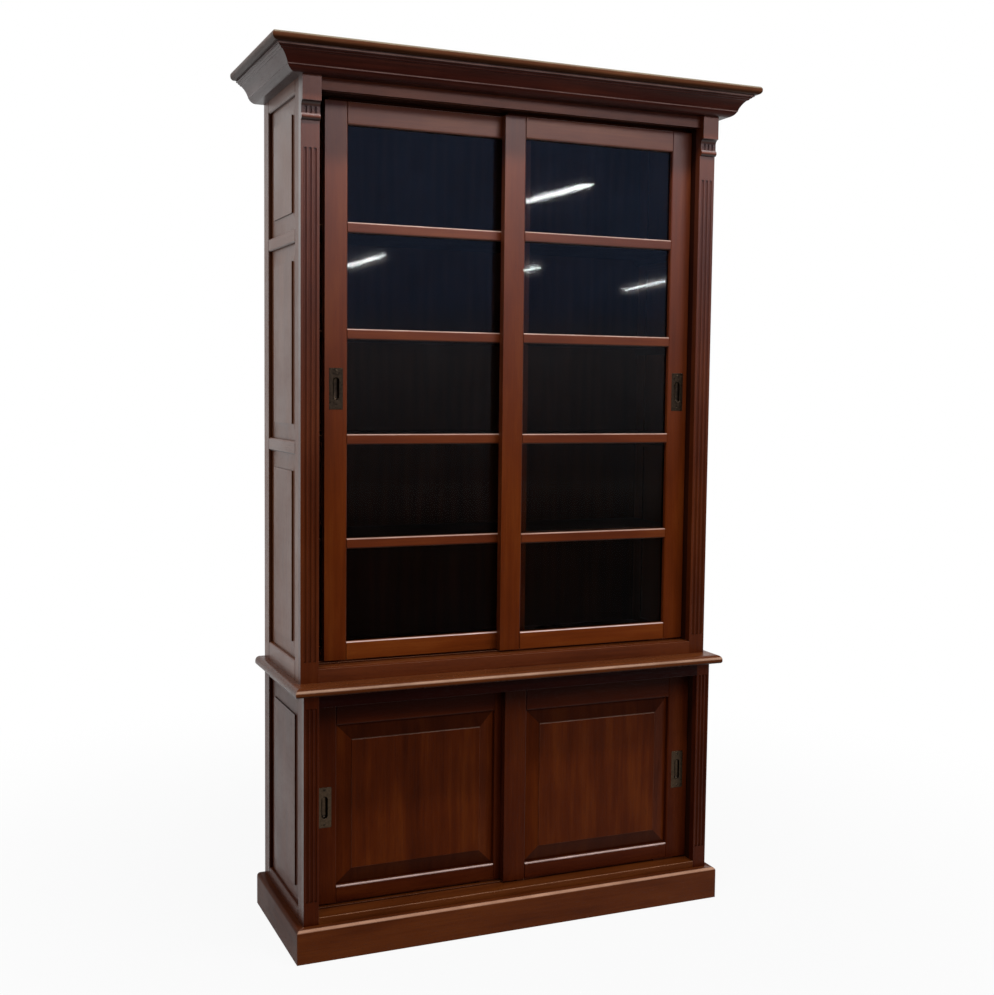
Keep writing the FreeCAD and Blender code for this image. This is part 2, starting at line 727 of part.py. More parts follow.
def flipped(corners):
    """Swap u and v, so that a rail's section stands for a stile cut across; keeps the turn."""
    swapped = [(c[1], c[0]) for c in corners]
    radii = [c[2] if len(c) == 3 else None for c in corners]
    backward = []
    for i in range(len(corners) - 1, -1, -1):
        r = radii[(i + 1) % len(corners)]
        backward.append(swapped[i] + ((r,) if r is not None else ()))
    return backward


def stile(section, height, at, pull_level=None):
    """A stile at a door's left edge, let in for its flush pull where it has one."""
    body = prism("XY_Plane", [flipped(section)], height, at)
    if pull_level is not None:
        middle = section_width(section) / 2
        sunk, play = S.pull_plate - S.pull_proud, S.pull_play
        pocket(body, "XZ_Plane", [rectangle(
            S.pull_width + play * 2, S.pull_height + play * 2,
            middle - S.pull_width / 2 - play, pull_level - S.pull_height / 2 - play)], sunk)
        shell = S.cup_wall + play
        wide, tall = S.cup_width + shell * 2, S.cup_height + shell * 2
        pocket(body, "XZ_Plane", [rectangle(
            wide, tall, middle - wide / 2, pull_level - tall / 2)],
            S.cup_depth + shell - S.pull_proud)
    return body


def section_width(section):
    widest = section[0][1]
    for corner in section:
        if dim(corner[1]).value > dim(widest).value:
            widest = corner[1]
    return dim(widest)


def flush_pull(at):
    """Plate and dished cup in one piece; the local origin is the plate's middle, on its face."""
    pull, centre = new_body(at), dim(0)
    wide, tall, deep, wall = S.cup_width, S.cup_height, S.cup_depth, S.cup_wall
    pad(pull, "XZ_Plane", [rectangle(S.pull_width, S.pull_height, -S.pull_width / 2,
                                     -S.pull_height / 2)], S.pull_plate)
    pad(pull, "XZ_Plane", [stadium(wide + wall * 2, tall + wall * 2, centre, centre)],
        deep + wall)

    # the dish narrows all round towards its flat floor: two half cones and a wedge between
    straight, floor = tall - wide, wide / 2 - S.cup_slope
    wedge = doc.addObject("Part::Wedge", "Dish")
    for prop, size in (("Xmin", -wide / 2), ("Xmax", wide / 2), ("X2min", -floor),
                       ("X2max", floor), ("Ymin", centre), ("Ymax", deep),
                       ("Zmin", -straight / 2), ("Z2min", -straight / 2),
                       ("Zmax", straight / 2), ("Z2max", straight / 2)):
        bind(wedge, prop, size)
    place(wedge, at)
    ends = []
    for side in (-1, 1):
        end = doc.addObject("Part::Cone", "DishEnd")
        end.Placement.Rotation = FreeCAD.Rotation(Vector(1, 0, 0), -90)
        for prop, size in (("Radius1", wide / 2), ("Radius2", floor), ("Height", deep)):
            bind(end, prop, size)
        ends.append(place(end, (at[0], at[1], at[2] + straight * side / 2)))
    dish = doc.addObject("Part::MultiFuse", "Dish")
    dish.Shapes = [wedge] + ends
    dish.Refine = True
    scooped = doc.addObject("Part::Cut", "Pull")
    scooped.Base, scooped.Tool = pull, dish
    cuts.append((scooped, pull))
    return scooped


def runners(prefix, left, width, face, foot, height):
    """Two slotted shoes that ride on the track rib, and the strip in the head guide."""
    middle = face + S.door_thickness / 2
    thick, slot = S.door_foot_gap - S.floor_clear, S.track_width / 2 + S.shoe_play
    over = S.track_height - S.floor_clear
    centre = S.shoe_width / 2
    section = [(0, 0), (centre - slot, 0), (centre - slot, over), (centre + slot, over),
               (centre + slot, 0), (S.shoe_width, 0), (S.shoe_width, thick), (0, thick)]
    shoes = [prism("YZ_Plane", [section], S.shoe_length,
                   (start, middle - S.shoe_width / 2, foot - thick))
             for start in (left + S.shoe_inset,
                           left + width - S.shoe_inset - S.shoe_length)]
    strip = box((width - S.strip_inset * 2, S.strip_thickness, S.strip_height),
                (left + S.strip_inset, middle - S.strip_thickness / 2, foot + height))
    group(prefix + "_runners", shoes + [strip])


def door_frame(prefix, left, width, face, foot, height, stile_width, foot_rail, head_rail,
               section_of, pull_level, pull_on_left):
    """Stiles and rails; the outer stile is let in for the pull."""
    middle = left + width / 2
    outer = stile(section_of(stile_width, False, True), height, (left, face, foot), pull_level)
    inner = stile(section_of(stile_width, False, True), height, (left, face, foot))
    if pull_on_left:
        group(prefix + "_stiles", [outer, mirrored(inner, middle)])
        pull_middle = left + stile_width / 2
    else:
        group(prefix + "_stiles", [mirrored(outer, middle), inner])
        pull_middle = left + width - stile_width / 2
    span = width - stile_width * 2
    group(prefix + "_rails", [
        prism("YZ_Plane", [section_of(foot_rail, False, True)], span,
              (left + stile_width, face, foot)),
        prism("YZ_Plane", [section_of(head_rail, True, False)], span,
              (left + stile_width, face, foot + height - head_rail))])
    finish(flush_pull((pull_middle, face - S.pull_proud, foot + pull_level)), prefix + "_pull")
    runners(prefix, left, width, face, foot, height)


def glazed_door(prefix, left, width, face, pull_on_left):
    foot, height = upper_door_foot, upper_door_height
    door_frame(prefix, left, width, face, foot, height, S.upper_stile, S.upper_foot_rail,
               S.upper_head_rail, glazed_section, S.upper_pull_level, pull_on_left)
    sight_left, span = left + S.upper_stile, width - S.upper_stile * 2
    reb, bars = S.glass_rebate, []
    for i in range(bar_count):
        # the web of a bar runs on into the stiles' rebates, its front stops at their edges
        bar = prism("YZ_Plane", [glazed_section(S.bar_height, True, True, S.bar_web)],
                    span + reb * 2, (sight_left - reb, face, bar_foot(i)))
        ends = [rectangle(reb, S.glass_lip), rectangle(reb, S.glass_lip, span + reb)]
        pocket(bar, "XY_Plane", ends)
        bars.append(bar)
    group(prefix + "_bars", bars)
    panes, beads = [], []
    bite = S.glass_rebate - S.glass_play
    glass_back = face + S.glass_lip + S.glass_thickness
    bead_depth = S.door_thickness - S.glass_lip - S.glass_thickness
    for i in range(bar_count + 1):
        low = glazed_foot + (pane_height + S.bar_height) * i
        panes.append(box((span + bite * 2, S.glass_thickness, pane_height + bite * 2),
                         (sight_left - bite, face + S.glass_lip, low - bite)))
        for level in (low - reb, low + pane_height):
            beads.append(box((span + reb * 2, bead_depth, reb),
                             (sight_left - reb, glass_back, level)))
        for side in (sight_left - reb, sight_left + span):
            beads.append(box((reb, bead_depth, pane_height), (side, glass_back, low)))
    group(prefix + "_panes", panes)
    group(prefix + "_beads", beads)


def panelled_door(prefix, left, width, face, pull_on_left):
    foot = base_sill + S.door_foot_gap
    height = base_head - S.door_head_gap - foot
    door_frame(prefix, left, width, face, foot, height, S.lower_stile, S.lower_foot_rail,
               S.lower_head_rail, panel_section, S.lower_pull_level, pull_on_left)
    panel = fielded_panel(
        width - S.lower_stile * 2, height - S.lower_foot_rail - S.lower_head_rail,
        S.panel_tongue, S.panel_groove - S.panel_play, S.panel_bevel, S.panel_rise,
        S.field_step, (left + S.lower_stile, face + S.panel_front, foot + S.lower_foot_rail))
    finish(panel, prefix + "_panel")


upper_reach, lower_reach = upper_jamb - S.jamb_play, base_jamb - S.jamb_play
upper_door_width = upper_reach + S.upper_overlap / 2
lower_door_width = lower_reach + S.lower_overlap / 2
glazed_door("upper_left", -upper_reach + S.upper_left_ajar, upper_door_width,
            upper_front + rear_plane, True)
glazed_door("upper_right", upper_reach - upper_door_width, upper_door_width,
            upper_front + front_plane, False)
panelled_door("lower_left", -lower_reach, lower_door_width, base_front + rear_plane, True)
panelled_door("lower_right", lower_reach - lower_door_width, lower_door_width,
              base_front + front_plane, False)

# ---------------------------------------------------------------- check and write
doc.recompute()
for thing in doc.Objects:
    if "Invalid" in thing.State or "Error" in thing.State:
        raise RuntimeError("%s (%s) failed: %s" % (thing.Label, thing.Name, thing.State))
for feature, base in cuts:
    if feature.Shape.Volume >= base.Shape.Volume - CLOSE:
        raise RuntimeError("%s cuts nothing" % feature.Name)
for thing in nodes:
    if thing.Shape.isNull() or not thing.Shape.isValid() or not thing.Shape.Solids:
        raise RuntimeError("%s has no sound shape" % thing.Label)
os.makedirs("parts", exist_ok=True)
for thing in nodes:
    thing.Shape.exportStep("parts/%s.step" % thing.Label)
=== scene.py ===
import math

import bmesh
import bpy
from mathutils import Matrix, Vector


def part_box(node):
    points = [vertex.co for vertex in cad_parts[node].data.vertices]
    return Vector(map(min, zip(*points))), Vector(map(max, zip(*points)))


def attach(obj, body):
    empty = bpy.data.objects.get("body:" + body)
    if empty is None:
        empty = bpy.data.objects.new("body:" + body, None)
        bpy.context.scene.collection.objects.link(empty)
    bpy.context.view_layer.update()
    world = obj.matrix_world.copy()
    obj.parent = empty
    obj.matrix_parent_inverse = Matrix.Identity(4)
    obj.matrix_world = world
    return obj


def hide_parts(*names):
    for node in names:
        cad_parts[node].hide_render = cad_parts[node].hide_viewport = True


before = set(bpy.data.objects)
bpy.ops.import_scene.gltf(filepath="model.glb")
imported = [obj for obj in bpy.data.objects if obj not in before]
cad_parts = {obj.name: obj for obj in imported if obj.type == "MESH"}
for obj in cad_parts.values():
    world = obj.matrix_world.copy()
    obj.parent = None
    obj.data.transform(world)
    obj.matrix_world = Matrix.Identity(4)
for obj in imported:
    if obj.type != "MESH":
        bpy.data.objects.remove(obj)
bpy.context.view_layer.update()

# ---------------------------------------------------------------- plinth
# Four lengths of stained mahogany, the front and the ends mitred at the corners, with a
# rounded top edge. Softwood blocks are glued inside. Boots have rubbed its lower edge.


def shader(tree, kind, inputs=None, **settings):
    """Put a shader node in a tree; an input is a plain value or another node's output."""
    node = tree.nodes.new(kind)
    for name, value in settings.items():
        setattr(node, name, value)
    for name, value in (inputs or {}).items():
        if isinstance(value, bpy.types.NodeSocket):
            tree.links.new(value, node.inputs[name])
        else:
            node.inputs[name].default_value = value
    return node


def number(tree, operation, *values, clamp=False):
    """The answer of a sum on plain values or other nodes' outputs."""
    return shader(tree, "ShaderNodeMath", dict(enumerate(values)), operation=operation,
                  use_clamp=clamp).outputs[0]


def blended(tree, factor, first, second):
    """A colour that goes from the first to the second as the factor goes from 0 to 1."""
    return shader(tree, "ShaderNodeMix", {0: factor, 6: first, 7: second},
                  data_type="RGBA").outputs[2]


def ranged(tree, value, low, high, to_low=0.0, to_high=1.0, smooth=False):
    """Carry a value between low and high over to another range, held past its ends."""
    kind = "SMOOTHSTEP" if smooth else "LINEAR"
    ends = {1: low, 2: high, 3: to_low, 4: to_high}
    return shader(tree, "ShaderNodeMapRange", {0: value, **ends},
                  interpolation_type=kind).outputs[0]


def stretched(tree, vector, across, along):
    """The place on the wood, counted in so many lengths a metre across and along the grain."""
    return shader(tree, "ShaderNodeVectorMath", {0: vector, 1: (across, across, along)},
                  operation="MULTIPLY").outputs[0]


def new_group(name, inputs, outputs):
    """A shader node group with named sockets; gives its tree, entry and exit."""
    tree = bpy.data.node_groups.new(name, "ShaderNodeTree")
    for side, sockets in (("INPUT", inputs), ("OUTPUT", outputs)):
        for label, kind in sockets:
            tree.interface.new_socket(label, in_out=side, socket_type="NodeSocket" + kind)
    return tree, tree.nodes.new("NodeGroupInput"), tree.nodes.new("NodeGroupOutput")


def placed(tree, group, inputs):
    """Put a node group in a tree."""
    return shader(tree, "ShaderNodeGroup", inputs, node_tree=group)


# the figure of the wood, with its grain along Z: drifting clouds of tone, long streaks,
# fine fibres and short open pores
figure, entry, leave = new_group(
    "Mahogany figure",
    [("Vector", "Vector"), ("Pale", "Color"), ("Body", "Color"), ("Deep", "Color"),
     ("Clouds", "Float"), ("Streaks", "Float"), ("Ribbon", "Float")],
    [("Color", "Color"), ("Pores", "Float"), ("Height", "Float")])
place = entry.outputs["Vector"]


def figure_noise(across, along, detail, roughness=0.55, distortion=0.0):
    return shader(figure, "ShaderNodeTexNoise", {
        "Vector": stretched(figure, place, across, along), "Scale": 1.0, "Detail": detail,
        "Roughness": roughness, "Distortion": distortion}).outputs[0]


FIBRE_TONE, FIBRE_HEIGHT, PORE_TONE = 0.12, 0.35, 0.45
clouds = ranged(figure, figure_noise(13, 3.2, 3.0), 0.3, 0.7, -1.0, 1.0)
streaks = ranged(figure, figure_noise(70, 3.0, 3.0, 0.55, 0.4), 0.25, 0.75, -1.0, 1.0)
fibres = ranged(figure, figure_noise(420, 11, 2.0), 0.3, 0.7, -1.0, 1.0)
rings = shader(figure, "ShaderNodeTexWave", {
    "Vector": stretched(figure, place, 1, 0.11), "Scale": 9.0, "Distortion": 7.0,
    "Detail": 3.0, "Detail Scale": 1.3, "Detail Roughness": 0.55, "Phase Offset": 2.0},
    wave_type="BANDS", bands_direction="X", wave_profile="SIN")
ribbon = ranged(figure, rings.outputs["Fac"], 0.0, 1.0, -1.0, 1.0)
tone = number(figure, "ADD", number(figure, "MULTIPLY", clouds, entry.outputs["Clouds"]),
              number(figure, "MULTIPLY", streaks, entry.outputs["Streaks"]))
tone = number(figure, "ADD", tone, number(figure, "MULTIPLY", ribbon, entry.outputs["Ribbon"]))
tone = number(figure, "ADD", tone, number(figure, "MULTIPLY", fibres, FIBRE_TONE))
pores = ranged(figure, figure_noise(1150, 46, 1.0), 0.60, 0.70)
colour = blended(figure, number(figure, "MULTIPLY", tone, -1.0, clamp=True),
                 entry.outputs["Body"], entry.outputs["Deep"])
colour = blended(figure, number(figure, "MULTIPLY", tone, 1.0, clamp=True), colour,
                 entry.outputs["Pale"])
colour = blended(figure, number(figure, "MULTIPLY", pores, PORE_TONE), colour,
                 entry.outputs["Deep"])
figure.links.new(colour, leave.inputs["Color"])
figure.links.new(pores, leave.inputs["Pores"])
relief = number(figure, "SUBTRACT", number(figure, "MULTIPLY", fibres, FIBRE_HEIGHT), pores)
figure.links.new(relief, leave.inputs["Height"])

# arrises: never dead sharp, rubbed brighter in patches by hands and dusters; where a length
# butts against another there is none. Where they face up and to the front they get a painted
# highlight.
arris, entry, leave = new_group(
    "Rubbed arris and painted highlight", [("Vector", "Vector"), ("Round", "Float"), ("Wear", "Float"),
                     ("Butted", "Vector"), ("Rim Low", "Float"), ("Rim High", "Float"),
                     ("Rim Top", "Float")],
    [("Worn", "Float"), ("Painted Highlight", "Float"), ("Normal", "Vector")])
rounded = shader(arris, "ShaderNodeBevel", {"Radius": entry.outputs["Round"]}, samples=4)
flat = arris.nodes.new("ShaderNodeNewGeometry").outputs["Normal"]
lean = shader(arris, "ShaderNodeVectorMath", {0: rounded.outputs[0], 1: flat},
              operation="SUBTRACT").outputs[0]
across = shader(arris, "ShaderNodeVectorMath", {0: lean, 1: entry.outputs["Butted"]},
                operation="DOT_PRODUCT").outputs["Value"]
free = ranged(arris, number(arris, "ABSOLUTE", across), 0.02, 0.08, 1.0, 0.0)
eased = shader(arris, "ShaderNodeMix", {0: free, 4: flat, 5: rounded.outputs[0]},
               data_type="VECTOR").outputs[1]
turn = shader(arris, "ShaderNodeVectorMath", {0: eased, 1: flat},
              operation="DOT_PRODUCT").outputs["Value"]
edge = ranged(arris, turn, 0.985, 0.80)
patches = shader(arris, "ShaderNodeTexNoise", {
    "Vector": entry.outputs["Vector"], "Scale": 11.0, "Detail": 3.0}).outputs[0]
patchy = ranged(arris, patches, 0.35, 0.65)
worn = number(arris, "MULTIPLY", edge, patchy)
arris.links.new(number(arris, "MULTIPLY", worn, entry.outputs["Wear"]), leave.inputs["Worn"])
lie = shader(arris, "ShaderNodeSeparateXYZ", {0: eased})
rise = lie.outputs[2]
# painted highlight: the share of an arris that faces up and to the front
upper = number(arris, "MULTIPLY", ranged(
    arris, rise, entry.outputs["Rim Low"], entry.outputs["Rim High"], smooth=True),
    ranged(arris, number(arris, "SUBTRACT", rise, entry.outputs["Rim Top"]), 0.08, 0.0))
upper = number(arris, "MULTIPLY", upper, ranged(arris, lie.outputs[1], -0.10, -0.30))
arris.links.new(number(arris, "MULTIPLY", upper, ranged(arris, patchy, 0.0, 1.0, 0.65, 1.0)),
                leave.inputs["Painted Highlight"])
arris.links.new(eased, leave.inputs["Normal"])

# darkened where two surfaces meet, partly for polish and wax gathered there and partly as
# painted shade; faces that look down are darkened as painted shade
polish_and_shade, entry, leave = new_group(
    "Settled polish and painted shade", [("Reach", "Float"), ("Amount", "Float"), ("Under", "Float")],
    [("Dark", "Float")])
open_air = shader(polish_and_shade, "ShaderNodeAmbientOcclusion", {"Distance": entry.outputs["Reach"]},
                  samples=6, only_local=True)
nook = ranged(polish_and_shade, open_air.outputs["AO"], 0.35, 0.9, 1.0, 0.0)
nook = number(polish_and_shade, "MULTIPLY", nook, entry.outputs["Amount"])
facing = shader(polish_and_shade, "ShaderNodeSeparateXYZ", {
    0: polish_and_shade.nodes.new("ShaderNodeNewGeometry").outputs["Normal"]}).outputs[2]
# painted shade on faces that look down
under = number(polish_and_shade, "MULTIPLY", ranged(polish_and_shade, facing, -0.05, -0.60),
               entry.outputs["Under"])
polish_and_shade.links.new(number(polish_and_shade, "MAXIMUM", nook, under), leave.inputs["Dark"])

# the turn that lays the figure along a board, and the heights between which the polish goes
# from old to fresh
ALONG = {"X": (0, math.radians(90), 0), "Y": (math.radians(90), 0, 0), "Z": (0, 0, 0)}
OLD_BELOW, FRESH_ABOVE = 1.0, 2.0


def stained_wood(name, grain, pale, body, deep, clouds=0.45, streaks=0.30, ribbon=0.0,
                 gloss=0.34, coat=0.0, fresh=0.0, wear=0.5, round_edge=0.0016, corner_polish_and_shade=0.6,
                 reach=0.016, under=0.6, highlight_colour=(0.24, 0.12, 0.070), highlight_at=(0.22, 0.48, 0.90),
                 butted=True, level=0.5, tint=(0.26, 0.07, 0.030), painted_shade_bands=(), painted_shade_slopes=("Z", 0.0),
                 turn_to=None):
    """Stained mahogany with its grain along X, Y or Z; its polish is fresher high up.

    The given bands of height are darkened as painted shade, as are faces that lean along the
    given axis, such as the bevels of a raised panel; arrises facing up and to the front take a
    painted highlight."""
    material = bpy.data.materials.new(name)
    material.use_nodes = True
    tree = material.node_tree
    surface = tree.nodes["Principled BSDF"]
    spot = tree.nodes.new("ShaderNodeTexCoord").outputs["Object"]
    if turn_to:
        spot = turn_to(tree, spot)
    lie = shader(tree, "ShaderNodeMapping", {"Vector": spot, "Rotation": ALONG[grain]})
    wood = placed(tree, figure, {
        "Vector": lie.outputs[0], "Pale": (*pale, 1), "Body": (*body, 1), "Deep": (*deep, 1),
        "Clouds": clouds, "Streaks": streaks, "Ribbon": ribbon})
    edges = placed(tree, arris, {
        "Vector": spot, "Round": round_edge, "Wear": wear,
        "Butted": [float(butted and grain == axis) for axis in "XYZ"],
        "Rim Low": highlight_at[0], "Rim High": highlight_at[1], "Rim Top": highlight_at[2]})
    nooks = placed(tree, polish_and_shade, {"Reach": reach, "Amount": corner_polish_and_shade, "Under": under})
    rubbed = tuple(min(1.0, c * 2.1 + 0.01) for c in pale)
    colour = blended(tree, edges.outputs["Worn"], wood.outputs["Color"], (*rubbed, 1))
    # painted highlight: arrises that face up and to the front take a lighter colour
    colour = blended(tree, edges.outputs["Painted Highlight"], colour, (*highlight_colour, 1))
    height = shader(tree, "ShaderNodeSeparateXYZ", {
        0: tree.nodes.new("ShaderNodeTexCoord").outputs["Object"]}).outputs[2]
    # painted shade, partly also polish gathered in corners: the colour goes towards near-black
    # in corners, on faces that look down, in the given bands of height and on leaning faces
    dark = nooks.outputs["Dark"]
    if painted_shade_bands:
        band = [ranged(tree, height, *ends, smooth=True) for ends in painted_shade_bands]
        dark = number(tree, "MAXIMUM", dark, number(tree, "MULTIPLY", band[0], band[-1]))
    leaning, depth = painted_shade_slopes
    if depth:
        tilt = shader(tree, "ShaderNodeSeparateXYZ", {
            0: tree.nodes.new("ShaderNodeNewGeometry").outputs["Normal"]}).outputs[leaning]
        dark = number(tree, "MAXIMUM", dark, ranged(
            tree, number(tree, "ABSOLUTE", tilt), 0.07, 0.14, 0.0, depth))
    colour = blended(tree, dark, colour, tuple(c * 0.25 for c in deep) + (1,))
    tree.links.new(colour, surface.inputs["Base Color"])
    smears = shader(tree, "ShaderNodeTexNoise", {"Vector": spot, "Scale": 5.0, "Detail": 4.0,
                                                 "Roughness": 0.6}).outputs[0]
    dull = number(tree, "ADD", ranged(tree, smears, 0.3, 0.7, gloss - 0.04, gloss + 0.07),
                  number(tree, "MULTIPLY", wood.outputs["Pores"], 0.12))
    tree.links.new(dull, surface.inputs["Roughness"])
    polish = ranged(tree, height, OLD_BELOW, FRESH_ABOVE, coat, coat + fresh, smooth=True)
    tree.links.new(number(tree, "ADD", number(tree, "MULTIPLY", edges.outputs["Worn"], 0.6),
                          polish, clamp=True), surface.inputs["Coat Weight"])
    bump = shader(tree, "ShaderNodeBump", {
        "Strength": 0.5, "Distance": 0.00025, "Height": wood.outputs["Height"],
        "Normal": edges.outputs["Normal"]})
    tree.links.new(bump.outputs[0], surface.inputs["Normal"])
    surface.inputs["Specular IOR Level"].default_value = level
    surface.inputs["Specular Tint"].default_value = (*tint, 1)
    surface.inputs["Coat Roughness"].default_value = 0.36
    return material


def dress(material, *nodes):
    """Give CAD nodes their finish."""
    for name in nodes:
        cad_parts[name].material_slots[0].material = material


plinth_tones = dict(pale=(0.140, 0.034, 0.0070), body=(0.090, 0.0190, 0.0038),
                    deep=(0.036, 0.0066, 0.0016))
# a painted highlight along the rounded top edge
plinth_edge = dict(highlight_colour=(0.56, 0.31, 0.20), butted=False, round_edge=0.003)
dress(stained_wood("plinth_front_mahogany", "X", **plinth_tones, **plinth_edge),
      "plinth_front")
dress(stained_wood("plinth_end_mahogany", "Y", level=0.02, **plinth_tones, **plinth_edge),
      "plinth_ends")


def plain_wood(name, grain, pale, body, deep, dull=0.62, **figured):
    """Sawn or planed wood with no polish, for backs and hidden blocks."""
    return stained_wood(name, grain, pale, body, deep, gloss=dull, wear=0.2, **figured)


dress(plain_wood("sawn_board", "X", (0.120, 0.048, 0.020), (0.076, 0.0270, 0.0110),
                 (0.036, 0.0120, 0.0050)), "plinth_back")
dress(plain_wood("sawn_block", "Z", (0.26, 0.16, 0.085), (0.19, 0.11, 0.056),
                 (0.10, 0.052, 0.026)), "plinth_blocks")

# ---------------------------------------------------------------- base case
# Framed ends round raised and fielded panels, fluted pilasters in front and a plain rail
# under the waist. All stained mahogany, darker than the upper case, pegless mortised joints.
base_tones = dict(pale=(0.092, 0.0170, 0.0032), body=(0.050, 0.0072, 0.0014),
                  deep=(0.020, 0.0024, 0.0006))
dress(stained_wood("base_pilaster", "Z", **base_tones), "base_pilasters")
base_end_tones = dict(pale=(0.135, 0.0330, 0.0080), body=(0.082, 0.0165, 0.0040),
                      deep=(0.036, 0.0062, 0.0016))
# painted shade on faces that lean towards the front or the back
dress(stained_wood("base_end_post", "Z", level=0.14, painted_shade_slopes=("Y", 0.8), **base_end_tones),
      "base_end_stiles")
dress(stained_wood("base_end_rail", "Y", level=0.14, **base_end_tones), "base_end_rails")
# painted shade on the bevels that lean towards the front or the back
dress(stained_wood("base_end_panel", "Z", level=0.14, ribbon=0.10, painted_shade_slopes=("Y", 0.7),
                   **base_end_tones), "base_end_panels")
# its near-black colour is painted shade from the waist slab above
dress(stained_wood("base_rail", "X", pale=(0.022, 0.0035, 0.0014),
                   body=(0.012, 0.0017, 0.0008), deep=(0.006, 0.0008, 0.0004),
                   tint=(0.05, 0.01, 0.01)), "base_top_rail")

# ---------------------------------------------------------------- inside the base
# Floor, shelf on nailed strips, linings and the grooved guide over the doors. Planed boards
# stained with the rest but never polished; the two ribs that the doors ride on are waxed.
inner_tones = dict(pale=(0.032, 0.0080, 0.0030), body=(0.018, 0.0040, 0.0015),
                   deep=(0.008, 0.0018, 0.0008))
inner_board = plain_wood("inner_board", "X", dull=0.5, **inner_tones)
inner_post = plain_wood("inner_lining", "Z", dull=0.5, **inner_tones)
inner_strip = plain_wood("inner_strip", "Y", dull=0.5, **inner_tones)
dress(inner_board, "base_shelf", "base_head_guide")
dress(inner_post, "jamb_linings")
dress(inner_strip, "shelf_bearers")
waxed = stained_wood("waxed_track", "X", (0.08, 0.020, 0.006), (0.045, 0.010, 0.003),
                     (0.020, 0.004, 0.0015), gloss=0.3, wear=0.8)
dress(waxed, "door_tracks")
# a painted highlight along the front edge
lipped = stained_wood("lipped_floor", "X", (0.170, 0.046, 0.0085), (0.100, 0.0230, 0.0040),
                      (0.042, 0.0085, 0.0018), gloss=0.28, wear=0.9, round_edge=0.003,
                      highlight_colour=(0.50, 0.27, 0.16), butted=False)
dress(lipped, "base_floor")

# ---------------------------------------------------------------- waist slab
# One wide board with a rounded nose that covers the base and carries the upper case. A painted
# highlight runs along the nose, and its underside is darkened as painted shade.
waist_tones = dict(pale=(0.175, 0.052, 0.0140), body=(0.115, 0.0290, 0.0072),
                   deep=(0.050, 0.0110, 0.0028))
# a painted highlight on the nose and painted shade underneath
dress(stained_wood("waist_board", "X", gloss=0.26, round_edge=0.004, level=0.14, under=0.85,
                   highlight_colour=(0.52, 0.31, 0.21), highlight_at=(0.04, 0.20, 0.52), butted=False,
                   **waist_tones), "waist_slab")

# ---------------------------------------------------------------- upper case
# Lighter framed ends with three raised and fielded panels each, tall fluted pilasters, a sill
# rail and a frieze rail. The corbels at the pilasters' heads are cut from solid blocks.
upper_tones = dict(pale=(0.130, 0.0290, 0.0060), body=(0.082, 0.0150, 0.0030),
                   deep=(0.038, 0.0060, 0.0014))
dress(stained_wood("upper_pilaster", "Z", coat=0.05, fresh=0.9, **upper_tones),
      "upper_pilasters")
end_tones = dict(pale=(0.240, 0.0800, 0.0260), body=(0.160, 0.0460, 0.0140),
                 deep=(0.085, 0.0220, 0.0070))
# painted shade on faces that lean towards the front or the back
dress(stained_wood("upper_end_post", "Z", coat=0.04, fresh=0.14, painted_shade_slopes=("Y", 0.8),
                   **end_tones), "upper_end_stiles")
# painted shade in two bands under the block and under the bead, in corners and on faces that
# look down
dress(stained_wood("upper_corbel", "Z", fresh=0.7, wear=0.4, corner_polish_and_shade=0.95, reach=0.009,
                   under=1.0, highlight_colour=(0.17, 0.125, 0.118),
                   painted_shade_bands=((2.070, 2.064, 0.0, 0.85), (2.036, 2.041, 0.0, 0.85)),
                   **dict(upper_tones, body=(0.115, 0.0215, 0.0045))), "corbels")
dress(stained_wood("upper_end_rail", "Y", coat=0.10, fresh=0.10, **end_tones),
      "upper_end_rails")
# painted shade on the bevels that lean towards the front or the back
dress(stained_wood("upper_end_panel", "Z", ribbon=0.10, fresh=0.36, level=0.42,
                   painted_shade_slopes=("Y", 0.7), **end_tones), "upper_end_panels")
dress(stained_wood("upper_rail", "X", coat=0.12, fresh=0.25, **upper_tones), "frieze_rail")
dress(stained_wood("sill_board", "X", coat=0.10,
                   **dict(upper_tones, body=(0.112, 0.0235, 0.0058))), "sill_rail")
dress(inner_board, "upper_top_board", "upper_head_guide", "upper_shelves")
dress(lipped, "upper_floor")

# ---------------------------------------------------------------- backs
# Two sheets of thin stained plywood let into rebates behind the cases and glued there,
# the grain upright. Never polished, so they stay dull.
dress(plain_wood("plywood_back", "Z", (0.060, 0.020, 0.0080), (0.036, 0.0105, 0.0040),
                 (0.017, 0.0050, 0.0022), ribbon=0.3), "base_back", "upper_back")

# ---------------------------------------------------------------- cornice
# Crown moulding run in three lengths and mitred round the corners, under a round-nosed slab
# framed in strips 110 mm wide. Its hollows, which face down, are darkened as painted shade, and
# the reeds carry a painted highlight on their upper faces.
CROWN_RETURN, SLAB_STRIP = 0.20, 0.11
mitred, entry, leave = new_group(
    "Mitred lengths",
    [("Vector", "Vector"), ("Reach", "Float"), ("Front", "Float"), ("Wide", "Float")],
    [("Return", "Float")])
sides = shader(mitred, "ShaderNodeSeparateXYZ", {0: entry.outputs["Vector"]})
from_end = number(mitred, "SUBTRACT", entry.outputs["Reach"],
                  number(mitred, "ABSOLUTE", sides.outputs[0]))
from_front = number(mitred, "SUBTRACT", sides.outputs[1], entry.outputs["Front"])
past = number(mitred, "SUBTRACT", from_front, from_end)
on_strip = number(mitred, "LESS_THAN", from_end, entry.outputs["Wide"])
past_mitre = number(mitred, "GREATER_THAN", past, 0.0)
mitred.links.new(number(mitred, "MULTIPLY", past_mitre, on_strip), leave.inputs["Return"])


